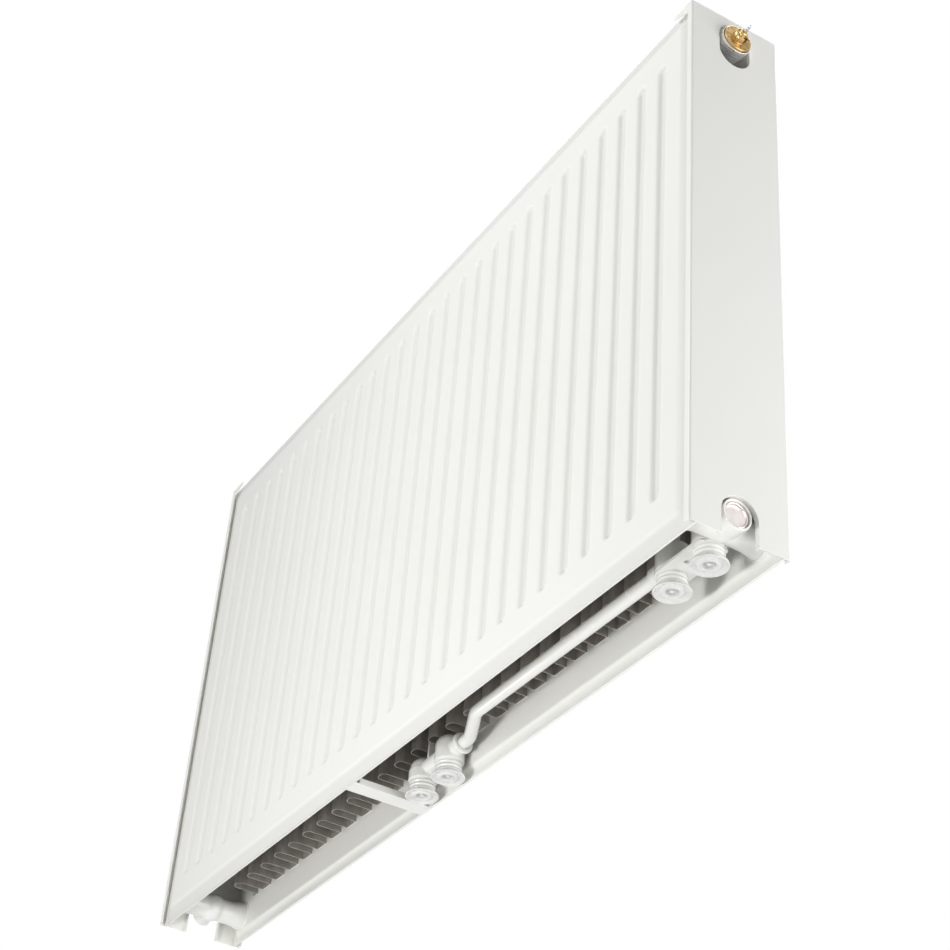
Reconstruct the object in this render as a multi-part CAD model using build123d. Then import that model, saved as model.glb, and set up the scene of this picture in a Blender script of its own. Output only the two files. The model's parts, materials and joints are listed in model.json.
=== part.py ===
from build123d import *
import os
from math import cos, hypot, radians, sin, tan

# Steel panel radiator: two pressed panels with a convector on each, covers on the ends and the top,
# a built-in valve at the upper right, and two pairs of pipe connections along the bottom.
# Sizes are in millimetres. X runs along the length, Y towards the wall and Z up.
# Pieces are modelled about the plane midway between the panels. They are written with the origin
# on the wall side, in the plane of the hanging lugs' backs, at mid length and bottom edge height.

# Overall sizes
LENGTH = 1000.0          # over both side covers
HEIGHT = 600.0           # bottom seam to top seam of a panel
DEPTH = 100.0            # over the side covers, front to back

# Panels
PITCH = 100.0 / 3        # one water channel and one groove
SHEET = 1.25             # pressed sheet
FACE_SETBACK = 1.5       # panel face behind the front edge of the side cover
BULGE = 5.25             # seam plane to the face of either sheet
OUTER_CREASE = 18.0      # seam edge to where the outer sheet's face begins
OUTER_FOOT = 9.5         # seam edge to where the outer sheet leaves the seam
INNER_CREASE = 11.0
INNER_FOOT = 5.5
RIM_CORNER = 9.0         # plan radius at the four corners of the pressed face
RIM_ROUND = 5.0          # rounding along the edge of the pressed face
GROOVE_END = 43.5        # seam edge to the end of a groove
GROOVE_HALF_MOUTH = 9.3
GROOVE_WALL_ANGLE = 40.0
GROOVE_LIP_ROUND = 6.0
GROOVE_FLOOR_ROUND = 4.0
LIP_RUN_OUT_ANGLE = 4.0  # the lip's rounding meets the face this flat

# Convectors
CONVECTOR_SHEET = 0.6
CONVECTOR_END = 43.0     # seam edge to the end of the convector
CONVECTOR_TIP_GAP = 13.0  # between the tips of the front and the rear convector
LOOP_WIDTH = 15.0
LOOP_TIP_ROUND = 6.0
LOOP_FOOT_ROUND = 2.0
FREE_CHANNELS_LEFT = 1   # channels without a loop, for the left tees
FREE_CHANNELS_RIGHT = 3  # channels without a loop, for the riser and the right tees

# Side covers and top grille
COVER_SHEET = 1.0
COVER_GAP = 0.7          # side cover to the panels' edges
COVER_BEND = 2.0
COVER_BOTTOM = 0.5       # height of the cover's bottom edge
COVER_RISE = 1.0         # cover above the panels' top seam
RETURN_WIDTH = 7.0       # cover's return along the front and the back
TAB_REACH = 28.0         # top corner tab, measured from the cover's outer face
TAB_TIP = 4.0
TAB_HEIGHT = 12.0
CUTOUT_HALF_WIDTH = 18.5
CUTOUT_CENTRE = 23.5     # height of the arch's centre
CUTOUT_LIP = 4.0
PORT_HOLE_RADIUS = 17.5
PORT_HOLE_ABOVE = 3.0    # centre of the hole's upper end above the port
PORT_HOLE_BELOW = 15.5   # centre of the hole's lower end below the port
PORT_HOLE_LIP = 3.0
GRILLE_SHEET = 1.0
GRILLE_END_GAP = 1.0     # grille to the lip of each cover's upper hole
GRILLE_SIDE_GAP = 0.5    # grille to the panels' top seams
GRILLE_TOP_DROP = 0.2    # grille below the panels' top seams
GRILLE_LIP = 4.5         # turned-down long edges
GRILLE_RIB = 8.0         # inner stiffening ribs
GRILLE_RIB_INSET = 1.5   # rib to the inner sheets' faces
SLOTS_PER_PITCH = 3
SLOT_WIDTH = 6.0
SLOT_BRIDGE = 6.0        # solid strip between the two rows of slots
SLOT_TO_RIB = 2.5
SLOT_END_MARGIN = 16.0

# Corner tees
PORT_HEIGHT = 27.0       # port axis from the nearest seam
TEE_INSET = 24.0         # tee axis from the cover's outer face
TEE_RADIUS = 13.5
TEE_FLARE = 16.0
TEE_FLARE_LENGTH = 12.0
TEE_FLARE_EDGE = 1.5
TEE_BULB = 16.0          # bulge at the crossing
CUT_IN_BULB = 14.2       # the same on the two right-hand tees, where other pieces meet it
TEE_BORE = 9.0
STUB_RADIUS = 14.5
STUB_SETBACK = 3.0       # stub's rim behind the cover's outer face
STUB_BORE = 10.5         # plain bore of a half-inch port
STUB_MOUTH = 12.2
STUB_MOUTH_DEPTH = 7.0

# Plugs
PLUG_CLEARANCE = 0.3
PLUG_LENGTH = 8.0
PLUG_HEAD = 4.2
PLUG_BEVEL = 0.6
PLUG_DISH_RADIUS = 10.4
PLUG_DISH_DEPTH = 2.6
SEAL_WIDTH = 1.6
SEAL_THICK = 1.2
BLEED_RADIUS = 4.0
BLEED_SQUARE = 5.0
BLEED_SQUARE_LENGTH = 5.0
BLEED_GAP = 0.3          # running clearance of the bleed screw
BLEED_BOTTOM_GAP = 1.0

# Pipes and connections
PIPE_RADIUS = 6.35
PIPE_WALL = 1.0
PIPE_LIFT = 0.05         # feed pipe's sockets above the tie plate
PIPE_BEND = 26.0
PIPE_FIT = 0.1           # pipe in its sockets
SOCKET_WALL = 2.6
SOCKET_DEPTH = 10.0
PAIR_SPACING = 50.0
RIGHT_PAIR_INSET = 65.5  # middle of the right pair from the cover's outer face
MIDDLE_PAIR_X = -8.5
MIDDLE_PAIR_GAP = 1.7    # bodies to the rear panel's inner face
DOGLEG_LENGTH = 46.0     # along X, where the feed pipe steps towards the rear panel
DOGLEG_RUN_IN = 22.0     # straight end of the feed pipe at the middle body
NIPPLE_RADIUS = 13.2     # three-quarter-inch outside thread
NIPPLE_BORE = 9.1
NIPPLE_LENGTH = 13.0     # below the body or the tie plate
NIPPLE_BEVEL = 0.8
NIPPLE_NECK = 12.4       # plain neck through the tie plate
BODY_WALL = 1.6          # connection body beyond the nipple's radius
BODY_TOP = 41.0
BODY_DOME = 10.0
BULB_RADIUS = 14.0
PLATE_THICK = 3.0
PLATE_HALF_WIDTH = 14.5
PLATE_END = 15.0         # plate beyond the nipple axes
PLATE_HOLE_RADIUS = 2.2
PLATE_HOLE_OFFSET = -4.0
PLATE_FIT = 0.2
NECK_RADIUS = 9.0
EAR_THICK = 3.0
EAR_HALF_WIDTH = 6.5
EAR_TOP = 54.0
EAR_SHIFT = -2.0         # ear towards the front of the pair's plane
EAR_ASIDE = -3.5         # ear from the middle of the pair, between two convector loops
COLLAR_LENGTH = 11.0     # beaded collar at the feed pipe's end
COLLAR_WALL = 2.6
BEAD_RADIUS = 2.2
STRAP_X = -64.0
STRAP_WIDTH = 19.0
STRAP_SHEET = 1.5
STRAP_HEIGHT = 7.0
STRAP_LIFT = 0.5

# Protective caps
CAP_FLANGE_RADIUS = 16.8
CAP_FLANGE_THICK = 2.8
CAP_ROUND = 1.1
CAP_GAP = 0.2            # flange to the nipple's end
CAP_FIT = 0.3            # plug in the nipple's bore
CAP_PLUG_LENGTH = 9.0
CAP_RECESS_RADIUS = 6.2
CAP_RECESS_DEPTH = 7.0
CAP_GROOVE_IN = 10.2
CAP_GROOVE_OUT = 12.4
CAP_GROOVE_DEPTH = 0.9

# Valve, measured along X from the cover's outer face, outwards positive
VALVE_RIM = 4.0          # collar's rim
COLLAR_RADIUS = 16.5
COLLAR_BACK = -13.7
SNAP_GROOVE_AT = 0.5
SNAP_GROOVE_WIDTH = 0.5
SNAP_GROOVE_DEPTH = 0.6
SPIGOT_BACK = -21.5
SPIGOT_RADIUS = 10.2
PIN_HOLE_RADIUS = 0.9    # locking hole in the collar
PIN_HOLE_AT = 2.9
PIN_HOLE_ANGLE = 260.0
INSERT_STEP = 0.65       # insert beyond the riser pipe's radius, so that it seats on the socket's end
INSERT_BACK = -51.0
INSERT_FLANGE_BACK = -7.8
INSERT_FLANGE_FRONT = -1.4
INSERT_FLANGE_RADIUS = 11.7
INSERT_FIT = 0.2
INSERT_CHAMBER = 5.8
INSERT_END_WALL = 3.0
SEAT_THICK = 2.5
SEAT_RADIUS = 4.2
WINDOW_BACK = -33.0
WINDOW_LENGTH = 10.0
WINDOW_WIDTH = 6.0
VALVE_STUB_RADIUS = 9.6
VALVE_STUB_BACK = -60.0
RING_RADIUS = 15.0
RING_BACK = -0.8
RING_FACE = 6.5
RING_BEVEL = 0.8
RING_GAP = 0.35          # preset ring to the collar
BOSS_RADIUS = 7.2
BOSS_FACE = 12.5
BOSS_SLOT = 4.6
BOSS_SLOT_DEPTH = 4.5
GLAND_RADIUS = 4.0
GLAND_FACE = 16.0
GLAND_GAP = 0.35         # gland to the preset ring
GLAND_POCKET_RADIUS = 3.0
GLAND_POCKET_LENGTH = 2.2
GLAND_POCKET_AT = 3.0
PIN_RADIUS = 1.5
PIN_TIP = 25.0
PIN_GAP = 0.3            # running clearance of the pin and the stem
STEM_RADIUS = 2.2
VALVE_TRAVEL = 2.5       # from open, at rest, to closed
SEAT_GAP = 0.1           # left between cone and seat when closed
STEM_COLLAR_RADIUS = 5.3
STEM_COLLAR_THICK = 2.0
STEM_STOP_GAP = 0.4
CONE_RADIUS = 5.2
CONE_THICK = 3.0
SPRING_WIRE = 0.9
SPRING_RADIUS = 4.1
SPRING_TURNS = 5
SPRING_SEAT = -20.5
SEAT_PLATE = 1.5
ORING_WIRE = 0.5
RISER_BEND = 30.0

# Hanging lugs
LUG_SHEET = 2.5
LUG_CLEAR = 7.0          # pocket between the lug and the rear panel
LUG_HEIGHT = 30.0
LUG_FOOT = 14.0
LUG_FROM_END = 133.0     # lug's middle from the cover's outer face, to the nearest channel
LUG_FROM_SEAM = 100.0    # lug's middle from the nearest seam

# Worked-out places
END_X = LENGTH / 2
PANEL_LENGTH = LENGTH - 2 * (COVER_SHEET + COVER_GAP)
FACE_Y = DEPTH / 2 - FACE_SETBACK
SEAM_Y = FACE_Y - BULGE
INNER_Y = SEAM_Y - BULGE
MIDDLE_Y = -(FACE_Y + LUG_CLEAR + LUG_SHEET)
CHANNEL_TOP = PITCH - 2 * GROOVE_HALF_MOUTH
GROOVES = int((PANEL_LENGTH - 2 * OUTER_CREASE - CHANNEL_TOP) / PITCH)
GROOVE_X = [(i - (GROOVES - 1) / 2) * PITCH for i in range(GROOVES)]
CHANNEL_X = [(i - GROOVES / 2) * PITCH for i in range(GROOVES + 1)]
TEE_X = END_X - TEE_INSET
LOW_PORT = PORT_HEIGHT
HIGH_PORT = HEIGHT - PORT_HEIGHT
RIGHT_RETURN_X = END_X - RIGHT_PAIR_INSET + PAIR_SPACING / 2
RIGHT_SUPPLY_X = RIGHT_RETURN_X - PAIR_SPACING
MIDDLE_SUPPLY_X = MIDDLE_PAIR_X + PAIR_SPACING / 2
MIDDLE_RETURN_X = MIDDLE_PAIR_X - PAIR_SPACING / 2
BODY_RADIUS = NIPPLE_RADIUS + BODY_WALL
SOCKET_RADIUS = PIPE_RADIUS + SOCKET_WALL
INSERT_RADIUS = PIPE_RADIUS + INSERT_STEP
MIDDLE_PAIR_Y = INNER_Y - MIDDLE_PAIR_GAP - BODY_RADIUS
PIPE_HEIGHT = NIPPLE_LENGTH + PLATE_THICK + PIPE_LIFT + SOCKET_RADIUS
PLUG_RADIUS = STUB_BORE - PLUG_CLEARANCE
STUB_END = END_X - STUB_SETBACK
STEM_BACK = INSERT_BACK + SEAT_THICK + SEAT_GAP + VALVE_TRAVEL + CONE_THICK


def block(x, y, z):
    """Box between the low and high values of each pair."""
    centre = [(low + high) / 2 for low, high in (x, y, z)]
    size = [high - low for low, high in (x, y, z)]
    return Pos(*centre) * Box(*size)


def turned_x(profile, y=0.0, z=0.0):
    """Turned piece on an axis along X; the profile is (x, radius) points."""
    return Pos(0, y, z) * revolve(make_face(Polyline(*profile, close=True)), Axis.X)


def turned_y(profile, x=0.0, z=0.0):
    """Turned piece on an axis along Y; the profile is (radius, y) points."""
    return Pos(x, 0, z) * revolve(make_face(Polyline(*profile, close=True)), Axis.Y)


def turned_z(profile, x=0.0, y=0.0):
    """Turned piece on an axis along Z; the profile is (radius, z) points."""
    return Pos(x, y, 0) * revolve(Plane.XZ * make_face(Polyline(*profile, close=True)), Axis.Z)


def rod_x(radius, x_low, x_high, y=0.0, z=0.0):
    return turned_x([(x_low, 0), (x_high, 0), (x_high, radius), (x_low, radius)], y, z)


def rod_y(radius, y_low, y_high, x=0.0, z=0.0):
    return turned_y([(0, y_low), (radius, y_low), (radius, y_high), (0, y_high)], x, z)


def rod_z(radius, z_low, z_high, x=0.0, y=0.0):
    return turned_z([(0, z_low), (radius, z_low), (radius, z_high), (0, z_high)], x, y)


def ring_x(radius, wire, x, y, z):
    """Sealing ring on an axis along X."""
    return Pos(x, y, z) * Rot(0, 90, 0) * Torus(radius, wire)


def pipe(points, bends, start_direction):
    """Round pipe along straight runs joined by bends."""
    path = FilletPolyline(*points, radius=bends)
    start = Plane(points[0], z_dir=start_direction)
    return sweep(start * (Circle(PIPE_RADIUS) - Circle(PIPE_RADIUS - PIPE_WALL)), path=path)


def frustum(low_inset, low_y, high_inset, high_y):
    """Flat-sided form parallel to the panel; its two insets are from the seam's edge."""
    half = PANEL_LENGTH / 2
    along = Polyline((low_inset - half, low_y), (half - low_inset, low_y),
                     (half - high_inset, high_y), (high_inset - half, high_y), close=True)
    upright = Polyline((low_y, low_inset), (low_y, HEIGHT - low_inset),
                       (high_y, HEIGHT - high_inset), (high_y, high_inset), close=True)
    long_form = Pos(-half, 0, 0) * extrude(Plane.YZ * make_face(upright), PANEL_LENGTH)
    return extrude(make_face(along), HEIGHT) & long_form


def groove_wall():
    """Points of a groove's wall: floor tangent, wall foot, wall head and lip, as (x, depth)."""
    wall = radians(GROOVE_WALL_ANGLE)
    run_out = radians(LIP_RUN_OUT_ANGLE)
    lip_x = GROOVE_HALF_MOUTH + GROOVE_LIP_ROUND * sin(run_out)
    lip_y = BULGE - GROOVE_LIP_ROUND * cos(run_out)
    head = (lip_x - GROOVE_LIP_ROUND * sin(wall), lip_y + GROOVE_LIP_ROUND * cos(wall))
    foot_y = SHEET + GROOVE_FLOOR_ROUND * (1 - cos(wall))
    foot = (head[0] - (head[1] - foot_y) / tan(wall), foot_y)
    floor_x = foot[0] - GROOVE_FLOOR_ROUND * sin(wall)
    half_wall = wall / 2
    floor_mid = (floor_x + GROOVE_FLOOR_ROUND * sin(half_wall),
                 SHEET + GROOVE_FLOOR_ROUND * (1 - cos(half_wall)))
    mid_angle = (wall + run_out) / 2
    lip_mid = (lip_x - GROOVE_LIP_ROUND * sin(mid_angle), lip_y + GROOVE_LIP_ROUND * cos(mid_angle))
    lip = (GROOVE_HALF_MOUTH, BULGE)
    return floor_x, floor_mid, foot, head, lip_mid, lip


def round_ended(half_profile):
    """Cutter along Z with round ends, from half of its section in X and Y."""
    low = GROOVE_END + GROOVE_HALF_MOUTH
    high = HEIGHT - low
    half = make_face(half_profile)
    straight = Pos(0, 0, low) * extrude(half + mirror(half, Plane.YZ), high - low)
    end = revolve(half, Axis.Y)
    return straight + Pos(0, 0, low) * end + Pos(0, 0, high) * end


def outside_groove_cutter():
    floor_x, floor_mid, foot, head, lip_mid, lip = groove_wall()
    top = BULGE + SHEET
    lines = [Line((0, SHEET), (floor_x, SHEET)),
             ThreePointArc((floor_x, SHEET), floor_mid, foot),
             Line(foot, head),
             ThreePointArc(head, lip_mid, lip),
             Polyline(lip, (lip[0], top), (0, top), (0, SHEET))]
    return round_ended(lines)


def inside_groove_cutter():
    """The groove seen from the water side, one sheet thickness further out."""
    foot = groove_wall()[2]
    wall = radians(GROOVE_WALL_ANGLE)
    low, high = -SHEET, BULGE
    wall_x = [foot[0] + (y - foot[1]) / tan(wall) + SHEET / sin(wall) for y in (low, high)]
    return round_ended(Polyline((0, low), (wall_x[0], low), (wall_x[1], high), (0, high), (0, low)))


def pressed_sheet(crease, foot):
    """Pressed sheet with its seam face at Y 0, bulging towards +Y."""
    run, rise = crease - foot, BULGE - SHEET
    slope = run / rise
    wall_shift = SHEET * hypot(run, rise) / rise
    plate = block((-PANEL_LENGTH / 2, PANEL_LENGTH / 2), (0, SHEET), (0, HEIGHT))
    form = frustum(foot - SHEET * slope, 0, crease, BULGE)
    form = fillet([e for e in form.edges() if abs((e % 0.5).Y) > sin(radians(10))], RIM_CORNER)
    form = fillet(form.faces().sort_by(Axis.Y)[-1].edges(), RIM_ROUND)
    outside = plate + form
    outside -= [Pos(x, 0, 0) * outside_groove_cutter() for x in GROOVE_X]
    hollow = frustum(foot - 2 * SHEET * slope + wall_shift, -SHEET,
                     crease - SHEET * slope + wall_shift, BULGE - SHEET)
    hollow -= [Pos(x, 0, 0) * inside_groove_cutter() for x in GROOVE_X]
    return outside - hollow


def convector():
    """Corrugated sheet standing on the face at Y 0, with its loops towards +Y."""
    depth = INNER_Y - CONVECTOR_TIP_GAP / 2
    loops = CHANNEL_X[FREE_CHANNELS_LEFT:len(CHANNEL_X) - FREE_CHANNELS_RIGHT]
    low, high = loops[0] - PITCH / 2, loops[-1] + PITCH / 2
    inner_width = LOOP_WIDTH - 2 * CONVECTOR_SHEET
    section = Pos((low + high) / 2, CONVECTOR_SHEET / 2) * Rectangle(high - low, CONVECTOR_SHEET)

    def hairpin(width, tip, tip_round):
        tall = RectangleRounded(width, 2 * tip, tip_round)
        return tall & Pos(0, tip / 2) * Rectangle(width, tip)

    outer = hairpin(LOOP_WIDTH, depth, LOOP_TIP_ROUND)
    inner = hairpin(inner_width, depth - CONVECTOR_SHEET, LOOP_TIP_ROUND - CONVECTOR_SHEET)
    section += [Pos(x, 0) * outer for x in loops]
    section -= [Pos(x, 0) * inner for x in loops]
    feet = [v for v in section.vertices()
            if abs(v.Y - CONVECTOR_SHEET) < 1e-3 and low + 1 < v.X < high - 1]
    section = fillet(feet, LOOP_FOOT_ROUND)
    return Pos(0, 0, CONVECTOR_END) * extrude(section, HEIGHT - 2 * CONVECTOR_END)


def cutout_outline(grow=0.0):
    """Open-bottomed arch of the cover's lower cut-out, in the YZ plane."""
    radius = CUTOUT_HALF_WIDTH + grow
    leg = CUTOUT_CENTRE + CUTOUT_HALF_WIDTH
    arch = Circle(radius) + Pos(0, -leg / 2) * Rectangle(2 * radius, leg)
    return Plane.YZ * (Pos(0, CUTOUT_CENTRE) * arch)


def port_hole_outline(grow=0.0):
    """Upright oblong hole of the cover's upper port, in the YZ plane."""
    radius = PORT_HOLE_RADIUS + grow
    span = PORT_HOLE_ABOVE + PORT_HOLE_BELOW
    middle = HIGH_PORT + (PORT_HOLE_ABOVE - PORT_HOLE_BELOW) / 2
    return Plane.YZ * (Pos(0, middle) * SlotOverall(span + 2 * radius, 2 * radius, rotation=90))


def cover_return():
    """Front return of the right cover with its top corner tab, as a sheet behind Y 0."""
    top, bottom = HEIGHT + COVER_RISE, COVER_BOTTOM
    edge, tab = END_X - RETURN_WIDTH, END_X - TAB_REACH
    outline = Polyline((END_X, bottom), (END_X, top), (tab, top), (tab, top - TAB_TIP),
                       (edge, top - TAB_HEIGHT), (edge, bottom), close=True)
    return extrude(Plane.XZ * make_face(outline), -COVER_SHEET)


def side_cover():
    """Right side cover: a folded sheet with its lower cut-out and upper hole, both lipped."""
    half = DEPTH / 2
    inner = END_X - COVER_SHEET
    height = (COVER_BOTTOM, HEIGHT + COVER_RISE)
    wall = block((inner, END_X), (-half, half), height)
    front = Pos(0, -half, 0) * cover_return()
    cover = wall + front + mirror(front, Plane.XZ)
    corners = cover.edges().filter_by(Axis.Z).filter_by_position(Axis.X, END_X - 0.01, END_X + 0.01)
    cover = fillet(corners, COVER_BEND)
    for outline, lip in ((cutout_outline, CUTOUT_LIP), (port_hole_outline, PORT_HOLE_LIP)):
        collar = Pos(inner - lip, 0, 0) * extrude(outline(COVER_SHEET), lip)
        cover += collar & block((inner - lip, END_X), (-half, half), height)
        cover -= Pos(inner - lip - 1, 0, 0) * extrude(outline(), lip + COVER_SHEET + 2)
    return cover


def top_grille():
    """Flat grille with two rows of slots, turned-down edges and two ribs."""
    half_x = END_X - COVER_SHEET - PORT_HOLE_LIP - GRILLE_END_GAP
    half_y = SEAM_Y - SHEET - GRILLE_SIDE_GAP
    rib_y = INNER_Y - GRILLE_RIB_INSET
    top = HEIGHT - GRILLE_TOP_DROP
    under = top - GRILLE_SHEET
    grille = block((-half_x, half_x), (-half_y, half_y), (under, top))
    step = PITCH / SLOTS_PER_PITCH
    count = int((2 * (half_x - SLOT_END_MARGIN) - SLOT_WIDTH) / step)
    slot_ends = (SLOT_BRIDGE / 2, rib_y - GRILLE_SHEET - SLOT_TO_RIB)
    slot = extrude(SlotOverall(slot_ends[1] - slot_ends[0], SLOT_WIDTH, rotation=90), GRILLE_SHEET + 2)
    row_y = sum(slot_ends) / 2
    slots = [Pos((i - count / 2) * step, side * row_y, under - 1) * slot
             for i in range(count + 1) for side in (-1, 1)]
    grille -= slots
    for side in (-1, 1):
        lip = sorted((side * half_y, side * (half_y - GRILLE_SHEET)))
        rib = sorted((side * rib_y, side * (rib_y - GRILLE_SHEET)))
        grille += block((-half_x, half_x), lip, (top - GRILLE_LIP, under))
        grille += block((-half_x, half_x), rib, (under - GRILLE_RIB, under))
    return grille


def tee_outside(z, bulb):
    """Outside of a right-hand tee: two flared arms and a bulb."""
    bend = INNER_Y - TEE_FLARE_EDGE - TEE_FLARE_LENGTH
    half = [(0, 0), (TEE_RADIUS, 0), (TEE_RADIUS, bend), (TEE_FLARE, INNER_Y - TEE_FLARE_EDGE),
            (TEE_FLARE, INNER_Y), (0, INNER_Y)]
    outline = make_face(Polyline(*half, close=True))
    flare_start = outline.vertices().sort_by_distance((TEE_RADIUS, bend))[0]
    arm = revolve(fillet(flare_start, TEE_FLARE_LENGTH), Axis.Y)
    arms = Pos(TEE_X, 0, z) * (arm + mirror(arm, Plane.XZ))
    return arms + Pos(TEE_X, 0, z) * Sphere(bulb)


def corner_tee(z, bulb=TEE_BULB):
    """Right-hand tee with a half-inch port in its stub."""
    mouth = STUB_END - STUB_MOUTH_DEPTH
    tee = tee_outside(z, bulb) + rod_x(STUB_RADIUS, TEE_X, STUB_END, 0, z)
    tee -= rod_y(TEE_BORE, -DEPTH, DEPTH, TEE_X, z)
    tee -= rod_x(STUB_BORE, TEE_X, mouth + 1, 0, z)
    return tee - rod_x(STUB_MOUTH, mouth, STUB_END + 1, 0, z)


def valve_tee():
    """Upper right tee: its stub takes the valve collar, and a socket on the other side the riser."""
    z = HIGH_PORT
    stub_end = END_X + COLLAR_BACK - SEAL_THICK
    tee = tee_outside(z, CUT_IN_BULB) + rod_x(STUB_RADIUS, TEE_X, stub_end, 0, z)
    tee += rod_x(VALVE_STUB_RADIUS, END_X + VALVE_STUB_BACK, TEE_X, 0, z)
    tee -= rod_y(TEE_BORE, -DEPTH, DEPTH, TEE_X, z)
    tee -= rod_x(2 * STUB_RADIUS, stub_end, END_X, 0, z)
    tee -= rod_x(SPIGOT_RADIUS, END_X + SPIGOT_BACK, END_X, 0, z)
    tee -= rod_x(INSERT_RADIUS + INSERT_FIT, END_X + INSERT_BACK, END_X, 0, z)
    socket_start = END_X + VALVE_STUB_BACK - 1
    return tee - rod_x(PIPE_RADIUS + PIPE_FIT, socket_start, END_X + INSERT_BACK, 0, z)


def plug(z, bore):
    """Right-hand blind plug with a dished head, bored through when bore is not zero."""
    mouth = STUB_END - STUB_MOUTH_DEPTH
    seat = mouth + SEAL_THICK
    face = seat + PLUG_HEAD
    head = STUB_MOUTH - PLUG_CLEARANCE
    profile = [(mouth - PLUG_LENGTH, 0), (face - PLUG_DISH_DEPTH, 0),
               (face - PLUG_DISH_DEPTH, PLUG_DISH_RADIUS - PLUG_DISH_DEPTH), (face, PLUG_DISH_RADIUS),
               (face, head - PLUG_BEVEL), (face - PLUG_BEVEL, head), (seat, head),
               (seat, PLUG_RADIUS - SEAL_WIDTH / 2), (mouth - PLUG_LENGTH, PLUG_RADIUS - SEAL_WIDTH / 2)]
    piece = turned_x(profile, 0, z)
    thread = rod_x(PLUG_RADIUS, mouth - PLUG_LENGTH, mouth, 0, z)
    piece += thread
    if bore:
        piece -= rod_x(bore, mouth - PLUG_LENGTH + BLEED_BOTTOM_GAP, face + 1, 0, z)
    return piece


def plug_seal(z):
    """Flat sealing ring under a plug's head."""
    mouth = STUB_END - STUB_MOUTH_DEPTH
    inner = PLUG_RADIUS - SEAL_WIDTH / 2
    outer = STUB_MOUTH - PLUG_CLEARANCE
    return rod_x(outer, mouth, mouth + SEAL_THICK, 0, z) - rod_x(inner, mouth - 1, mouth + 2, 0, z)


def bleed_screw(z):
    """Vent screw with a square end for the key, in the bored plug."""
    mouth = STUB_END - STUB_MOUTH_DEPTH
    back = mouth - PLUG_LENGTH + 2 * BLEED_BOTTOM_GAP
    face = mouth + SEAL_THICK + PLUG_HEAD - PLUG_DISH_DEPTH
    shank = rod_x(BLEED_RADIUS - BLEED_GAP, back, face, 0, z)
    half = BLEED_SQUARE / 2
    return shank + block((face, face + BLEED_SQUARE_LENGTH), (-half, half), (z - half, z + half))


def connection_nipple(x, y, top):
    """Threaded pipe end, bored through, with its end at the panels' bottom edge height."""
    profile = [(NIPPLE_BORE, 0), (NIPPLE_RADIUS - NIPPLE_BEVEL, 0), (NIPPLE_RADIUS, NIPPLE_BEVEL),
               (NIPPLE_RADIUS, NIPPLE_LENGTH), (NIPPLE_BORE, NIPPLE_LENGTH)]
    nipple = turned_z(profile, x, y)
    if top > NIPPLE_LENGTH:
        neck = rod_z(NIPPLE_NECK, NIPPLE_LENGTH, top, x, y)
        nipple += neck - rod_z(NIPPLE_BORE, 0, 2 * top, x, y)
    return nipple


def protective_cap(x, y):
    """Push-in cap: a plug in the nipple's bore and a ringed flange over its end."""
    top, bottom = -CAP_GAP, -CAP_GAP - CAP_FLANGE_THICK
    plug_radius = NIPPLE_BORE - CAP_FIT
    profile = [(0, bottom + CAP_RECESS_DEPTH), (CAP_RECESS_RADIUS, bottom + CAP_RECESS_DEPTH),
               (CAP_RECESS_RADIUS, bottom), (CAP_GROOVE_IN, bottom),
               (CAP_GROOVE_IN, bottom + CAP_GROOVE_DEPTH), (CAP_GROOVE_OUT, bottom + CAP_GROOVE_DEPTH),
               (CAP_GROOVE_OUT, bottom), (CAP_FLANGE_RADIUS, bottom), (CAP_FLANGE_RADIUS, top),
               (plug_radius, top), (plug_radius, CAP_PLUG_LENGTH), (0, CAP_PLUG_LENGTH)]
    cap = turned_z(profile, x, y)
    rim = [e for e in cap.edges().filter_by(GeomType.CIRCLE) if abs(e.radius - CAP_FLANGE_RADIUS) < 0.01]
    return fillet(rim, CAP_ROUND)


def body_column(x, y, bottom, domed):
    """Upright body over a nipple, with a flat or a domed top."""
    column = rod_z(BODY_RADIUS, bottom, BODY_TOP, x, y)
    if domed:
        column = fillet(column.edges().filter_by(GeomType.CIRCLE).sort_by(Axis.Z)[-1], BODY_DOME)
    return column


def right_supply_body():
    """Body over the right supply nipple, with sockets for the feed pipe and the riser."""
    x = RIGHT_SUPPLY_X
    bottom = NIPPLE_LENGTH + PLATE_THICK
    body = body_column(x, 0, bottom, False)
    body += rod_x(SOCKET_RADIUS, x - BODY_RADIUS - SOCKET_DEPTH, x, 0, PIPE_HEIGHT)
    body -= rod_x(PIPE_RADIUS + PIPE_FIT, x - 2 * BODY_RADIUS - SOCKET_DEPTH, x, 0, PIPE_HEIGHT)
    return body - rod_z(PIPE_RADIUS + PIPE_FIT, bottom - 1, BODY_TOP + 1, x, 0)


def right_return_body():
    """Body over the right return nipple, cut to sit against the lower right tee."""
    x = RIGHT_RETURN_X
    bottom = NIPPLE_LENGTH + PLATE_THICK
    body = body_column(x, 0, bottom, True)
    body -= rod_z(NIPPLE_BORE, bottom - 1, LOW_PORT, x, 0)
    body -= rod_x(TEE_BORE, x, TEE_X, 0, LOW_PORT)
    body -= tee_outside(LOW_PORT, CUT_IN_BULB)
    return body.solids().sort_by(SortBy.VOLUME)[-1]


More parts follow.
